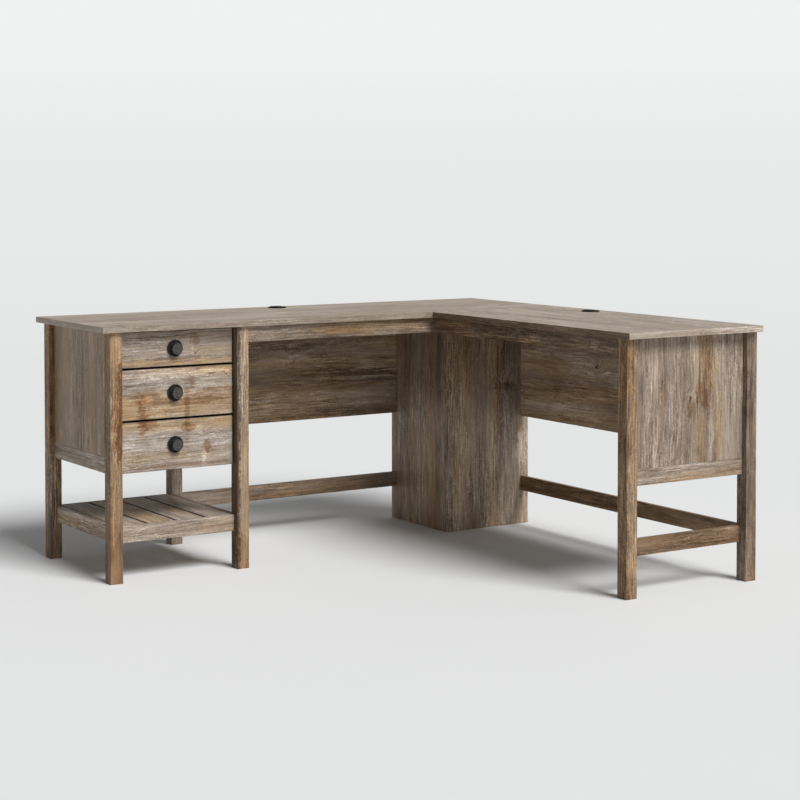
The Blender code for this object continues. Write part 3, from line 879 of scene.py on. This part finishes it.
# painted light: the two tints of the knob's lit front faces, mottled between them; the sides and
# the rosette's recess stay near-black as painted shade
ROSETTE_LIT_FACE = ((0.010, 0.0085, 0.007), (0.042, 0.037, 0.032))
HEAD_LIT_FACE = ((0.015, 0.0135, 0.0115), (0.066, 0.060, 0.052))
KNOB_STEPS = 96
KNOB_ROUNDING = 0.0007
# (the longest stretch of the profile, the dents' size, their depth)
ROSETTE_HAMMERED = (0.0011, 0.0052, 0.00022)
HEAD_HAMMERED = (0.0009, 0.0043, 0.00034)
DENT_REACH = 0.62  # a dent's radius, in dents' sizes
HUB = 0.0005  # nearer the axis than this, nothing is dented


def hammered(size, depth):
    """Shallow dents, one to each cell, sunk towards the knob's axis."""

    def relief(point, angle):
        near = noise.voronoi(point / size)[0][0]
        sink = depth * max(0.0, 1.0 - (near / DENT_REACH) ** 2)
        middle = Vector((0.0, 0.0, point.z * 0.6 + 0.004))
        return point + (middle - point).normalized() * sink if point.xy.length > HUB else point

    return relief


def hammered_piece(name, profile, hammering, place, iron, body):
    """One of a knob's two turned pieces."""
    longest, size, depth = hammering
    bm = bmesh.new()
    points = refined(rounded(profile, KNOB_ROUNDING), longest)
    lathe_into(bm, points, KNOB_STEPS, place, relief=hammered(size, depth))
    return add_piece(name, bm, iron, body, HAMMERED)


def make_knobs():
    for name in DRAWER_NAMES:
        node, body = "drawer_knob_" + name, "drawer_" + name
        low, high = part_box(node)
        middle = (low + high) / 2
        place = Matrix.Translation((middle.x, high.y, middle.z)) @ TO_FRONT
        iron = knob_iron("iron_rosette_" + name, middle, ROSETTE_LIT_FACE, ROSETTE_RECESS)
        hammered_piece("knob_rosette_" + name, ROSETTE, ROSETTE_HAMMERED, place, iron, body)
        iron = knob_iron("iron_head_" + name, middle, HEAD_LIT_FACE)
        head = hammered_piece("knob_head_" + name, KNOB_HEAD, HEAD_HAMMERED, place, iron, body)
        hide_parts(node)


# profile of (radius, height above the top)
SLEEVE = (
    (0.0245, -0.0002), (0.0215, -0.0002), (0.0215, -0.0137), (0.0265, -0.0137), (0.0265, 0.0003),
    (0.0300, 0.0003), (0.0300, 0.0014), (0.0288, 0.0033), (0.0245, 0.0033),
)
COVER_RADIUS = 0.0242
COVER_THICK = 0.0050
NOTCH_HALF = 0.0090
NOTCH_INNER = 0.0100
NOTCH_CORNER = 0.0020
CORNER_STEPS = 4
COVER_EDGE = 0.0008
SLEEVE_ROUNDING = 0.0006
ROUND_STEPS = 96


def cover_outline():
    """A circle with a slot from its edge towards its middle, rounded at the slot's inner end."""
    gap = math.asin(NOTCH_HALF / COVER_RADIUS)
    points = []
    for k in range(ROUND_STEPS + 1):
        angle = gap + (2.0 * math.pi - 2.0 * gap) * k / ROUND_STEPS
        points.append((COVER_RADIUS * math.cos(angle), COVER_RADIUS * math.sin(angle)))
    x, y = NOTCH_INNER + NOTCH_CORNER, NOTCH_HALF - NOTCH_CORNER
    for side, start in ((-1.0, 270.0), (1.0, 180.0)):
        for k in range(CORNER_STEPS + 1):
            angle = math.radians(start - 90.0 * k / CORNER_STEPS)
            points.append(
                (x + NOTCH_CORNER * math.cos(angle), side * y + NOTCH_CORNER * math.sin(angle))
            )
    return points


def make_grommets(plastic):
    for wing in WINGS:
        low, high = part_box("grommet_sleeve_" + wing)
        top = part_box(wing + "_top")[1].z
        middle = (low + high) / 2
        place = Matrix.Translation((middle.x, middle.y, top))
        bm = bmesh.new()
        lathe_into(bm, rounded(SLEEVE, SLEEVE_ROUNDING, True), ROUND_STEPS, place, closed=True)
        sleeve = add_piece("grommet_ring_" + wing, bm, plastic, FRAME_BODY, TURNED)
        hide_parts("grommet_sleeve_" + wing)

        node, body = "grommet_cover_" + wing, "cover_" + wing
        place = Matrix.Translation((middle.x, middle.y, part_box(node)[0].z)) @ TO_FRONT
        outline = [(x, -y) for x, y in cover_outline()]
        bm = bmesh.new()
        extrude_into(bm, outline, 0.0, COVER_THICK, place)
        name = "cable_cover_" + wing
        lid = add_piece(name, bm, plastic, body, STRAIGHT, COVER_EDGE)
        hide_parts(node)


# profile of (radius, height above the face that it holds)
SCREW_HEAD = (
    (0.0000, 0.0009), (0.0010, 0.0010), (0.0012, 0.0022), (0.0022, 0.0021), (0.0034, 0.0012),
    (0.0036, 0.0004), (0.0034, 0.0000), (0.0000, 0.0000),
)
SCREW_STEPS = 32
SCREW_CROSS = 0.0013  # the cross recess's reach
CROSS_SHAPE = (0.55, 1.35, 5)  # its radius between the arms, how much more along them, sharpness


def screw_into(bm, place, direction):
    """A pan head with a cross recess, standing on a face that looks in this direction."""
    narrow, more, sharpness = CROSS_SHAPE

    def cross(point, angle):
        if point.xy.length > SCREW_CROSS:
            return point
        scale = narrow + more * abs(math.cos(2.0 * angle)) ** sharpness
        return Vector((point.x * scale, point.y * scale, point.z))

    turn = Vector(direction).to_track_quat("Z", "Y").to_matrix().to_4x4()
    matrix = Matrix.Translation(place) @ turn
    lathe_into(bm, SCREW_HEAD, SCREW_STEPS, matrix, relief=cross)


MEMBER_DEPTH = 0.0045
MEMBER_HALF = 0.0100
MEMBER_WALL = 0.0012
MEMBER_CLEAR = 0.0001
MEMBER_END = 0.0020
MEMBER_LENGTH = 0.400
MEMBER_SCREWS = (0.035, 0.180, 0.350)
MEMBER_EDGE = 0.0003
SIDES = (("left", -1.0), ("right", 1.0))


def make_runner_members(zinc):
    """The half of each runner that is screwed to the drawer's side."""
    wall, deep, half = MEMBER_WALL, MEMBER_DEPTH, MEMBER_HALF
    outline = (
        (0.0, -half), (deep, -half), (deep, -half + wall), (wall, -half + wall),
        (wall, half - wall), (deep, half - wall), (deep, half), (0.0, half),
    )
    for name in DRAWER_NAMES:
        for side, outwards in SIDES:
            low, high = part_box("drawer_side_%s_%s" % (side, name))
            face = (low if outwards < 0 else high).x + outwards * MEMBER_CLEAR
            middle_z = (low.z + high.z) / 2
            front = low.y + MEMBER_END
            bm = bmesh.new()
            points = [(outwards * x, z) for x, z in outline]
            start = Matrix.Translation((face, front, middle_z))
            extrude_into(bm, points, 0.0, MEMBER_LENGTH, start)
            piece = "runner_member_%s_%s" % (side, name)
            add_piece(piece, bm, zinc, "drawer_" + name, STRAIGHT, MEMBER_EDGE)
            bm = bmesh.new()
            for y in MEMBER_SCREWS:
                place = (face + outwards * MEMBER_WALL, front + y, middle_z)
                screw_into(bm, place, (outwards, 0.0, 0.0))
            piece = "member_screws_%s_%s" % (side, name)
            add_piece(piece, bm, zinc, "drawer_" + name, TURNED)


CORNER_SCREW_UP = 0.020  # from the drawer side's lower edge
CORNER_SCREW_DOWN = 0.012  # from its upper edge


def make_drawer_screws(zinc):
    """The knob's screw inside the front, and two screws in each back corner."""
    for name in DRAWER_NAMES:
        bm = bmesh.new()
        low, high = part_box("drawer_knob_" + name)
        middle = (low + high) / 2
        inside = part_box("drawer_front_" + name)[1].y
        screw_into(bm, (middle.x, inside, middle.z), (0.0, 1.0, 0.0))
        for side, outwards in SIDES:
            low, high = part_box("drawer_side_%s_%s" % (side, name))
            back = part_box("drawer_back_" + name)
            y = (back[0].y + back[1].y) / 2
            for z in (low.z + CORNER_SCREW_UP, high.z - CORNER_SCREW_DOWN):
                screw_into(bm, ((low if outwards < 0 else high).x, y, z), (outwards, 0.0, 0.0))
        add_piece("drawer_screws_" + name, bm, zinc, "drawer_" + name, TURNED)


BRACKET_LEG = 0.028
BRACKET_THICK = 0.0020
BRACKET_HALF = 0.010
BRACKET_EDGE = 0.0004
BRACKET_SCREW = 0.62  # the screws' place, as a share of each leg
BATTEN_SCREWS = ((0.1, 0.5, 0.9), (0.25, 0.75))  # shares along it and across it


def bracket_at(name, place, heading, zinc):
    """An angle bracket under the top: one leg up against it, one leg down a board's face."""
    leg, thick, half = BRACKET_LEG, BRACKET_THICK, BRACKET_HALF
    outline = ((0.0, 0.0), (leg, 0.0), (leg, -thick), (thick, -thick), (thick, -leg), (0.0, -leg))
    turn = Matrix.Rotation(math.radians(heading), 4, "Z")
    matrix = Matrix.Translation(place) @ turn
    bm = bmesh.new()
    extrude_into(bm, outline, -half, half, matrix)
    add_piece("top_bracket_" + name, bm, zinc, FRAME_BODY, STRAIGHT, BRACKET_EDGE)
    bm = bmesh.new()
    screw_into(bm, matrix @ Vector((leg * BRACKET_SCREW, 0.0, -thick)), (0.0, 0.0, -1.0))
    outwards = turn @ Vector((1.0, 0.0, 0.0))
    screw_into(bm, matrix @ Vector((thick, 0.0, -leg * BRACKET_SCREW)), outwards)
    add_piece("bracket_screws_" + name, bm, zinc, FRAME_BODY, TURNED)


def make_brackets(zinc):
    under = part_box("main_top")[0].z
    # board: (face's axis, which side of the board, heading, shares along the board)
    faces = {
        "main_modesty_panel": (Y, 0, -90.0, (0.2, 0.8)),
        "return_modesty_panel": (X, 0, 180.0, (0.2, 0.7)),
        "return_end_panel": (Y, 1, 90.0, (0.5,)),
        "pedestal_inner_panel": (X, 1, 0.0, (0.25, 0.75)),
        "main_apron": (Y, 1, 90.0, (0.25, 0.75)),
        "return_apron": (X, 1, 0.0, (0.25, 0.75)),
    }
    for node, (axis, side, heading, shares) in faces.items():
        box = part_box(node)
        run = X if axis == Y else Y
        for number, share in enumerate(shares, 1):
            place = Vector((0.0, 0.0, under))
            place[axis] = box[side][axis]
            place[run] = box[0][run] + share * (box[1][run] - box[0][run])
            bracket_at("%s_%d" % (node, number), place, heading, zinc)

    low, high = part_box("top_joint_batten")
    bm = bmesh.new()
    for x in BATTEN_SCREWS[0]:
        for y in BATTEN_SCREWS[1]:
            place = (low.x + x * (high.x - low.x), low.y + y * (high.y - low.y), low.z)
            screw_into(bm, place, (0.0, 0.0, -1.0))
    add_piece("batten_screws", bm, zinc, FRAME_BODY, TURNED)


# (name, darkest colour, palest colour, range of roughness, the fine noise's scales, bump)
PLASTIC = (
    "grommet_plastic", (0.004, 0.0033, 0.0028), (0.010, 0.0082, 0.007), (0.55, 0.70),
    (1800.0, 1800.0, 1800.0), 0.00005,
)
ZINC = (
    "zinc", (0.46, 0.47, 0.49), (0.62, 0.63, 0.64), (0.26, 0.42),
    (260.0, 18.0, 260.0), 0.00002,
)
BOX_FOIL = (
    "box_foil", (0.43, 0.39, 0.335), (0.56, 0.52, 0.455), (0.50, 0.66),
    (90.0, 14.0, 420.0), 0.00006,
)


def make_hardware():
    plastic = plain_material(*PLASTIC, specular=0.18)
    zinc = plain_material(*ZINC, metallic=1.0)
    foil = plain_material(*BOX_FOIL)
    make_knobs()
    make_grommets(plastic)
    make_runner_members(zinc)
    make_drawer_screws(zinc)
    make_brackets(zinc)
    for name in DRAWER_NAMES:
        for board in ("side_left", "side_right", "back", "bottom"):
            dress("drawer_%s_%s" % (board, name), foil, BOX_EDGE)
        for side, _ in SIDES:
            dress("runner_%s_%s" % (side, name), zinc, RUNNER_EDGE)


# ---- stage -------------------------------------------------------------------------------------
def make_camera():
    data = bpy.data.cameras.new("camera")
    data.lens = CAMERA_LENS
    data.sensor_width = CAMERA_SENSOR
    data.shift_y = CAMERA_SHIFT
    data.clip_end = CAMERA_REACH
    camera = bpy.data.objects.new("camera", data)
    camera.location = CAMERA_PLACE
    camera.rotation_euler = (math.radians(90.0 + CAMERA_PITCH), 0.0, -math.radians(CAMERA_YAW))
    bpy.context.scene.collection.objects.link(camera)
    bpy.context.scene.camera = camera


def make_lights():
    sun = bpy.data.lights.new("key", "SUN")
    sun.energy = KEY_STRENGTH
    sun.angle = math.radians(KEY_ANGLE)
    key = bpy.data.objects.new("key", sun)
    key.rotation_euler = Vector(KEY_FROM).to_track_quat("Z", "Y").to_euler()
    bpy.context.scene.collection.objects.link(key)

    world = bpy.data.worlds.new("studio")
    bpy.context.scene.world = world
    world.use_nodes = True
    t = Tree(world.node_tree)
    background = world.node_tree.nodes["Background"]
    seen = t.node("LightPath").outputs["Is Camera Ray"]
    side, _, height = t.split(t.node("TexCoord").outputs["Generated"])
    fill = t.mix(t.step(height, 0.0, FILL_RISE), FILL_LEVEL, FILL_ABOVE)
    fill = t.vector("SCALE", fill, t.math("MULTIPLY_ADD", side, FILL_FROM_RIGHT, 1.0))
    backdrop = t.mix(t.step(height, 0.0, BACKDROP_RISE), BACKDROP_LOW, BACKDROP)
    t.put(background.inputs["Color"], t.mix(seen, fill, backdrop))
    background.inputs["Strength"].default_value = 1.0


def make_floor():
    mesh = bpy.data.meshes.new("floor")
    bm = bmesh.new()
    bmesh.ops.create_circle(bm, cap_ends=True, radius=FLOOR_RADIUS, segments=96)
    bm.to_mesh(mesh)
    bm.free()
    floor = bpy.data.objects.new("floor", mesh)
    bpy.context.scene.collection.objects.link(floor)

    mat, t, shader = new_material("floor", specular=0.2)
    source = t.node("TexCoord").outputs["Object"]
    speckle = t.noise(t.vector("SCALE", source, 3.0), 4.0)
    tint = t.step(speckle, 0.3, 0.7, 0.0, 0.02)
    shade = t.mix(tint, FLOOR_COLOUR, FLOOR_SPECKLE)
    t.put(shader.inputs["Base Color"], shade)
    shader.inputs["Roughness"].default_value = 0.85
    glow = t.node("Emission")
    t.put(glow.inputs["Color"], (*BACKDROP_LOW, 1.0))
    fade = t.step(t.math("DIVIDE", 1.0, t.vector("LENGTH", source)), *FLOOR_FADE)
    join = t.node("MixShader")
    t.put(join.inputs[0], fade)
    t.put(join.inputs[1], shader.outputs[0])
    t.put(join.inputs[2], glow.outputs[0])
    t.put(mat.node_tree.nodes["Material Output"].inputs["Surface"], join.outputs[0])
    mesh.materials.append(mat)


def main():
    bpy.context.scene.view_settings.view_transform = "Standard"
    make_camera()
    make_lights()
    make_floor()
    dress_boards()
    make_hardware()


main()
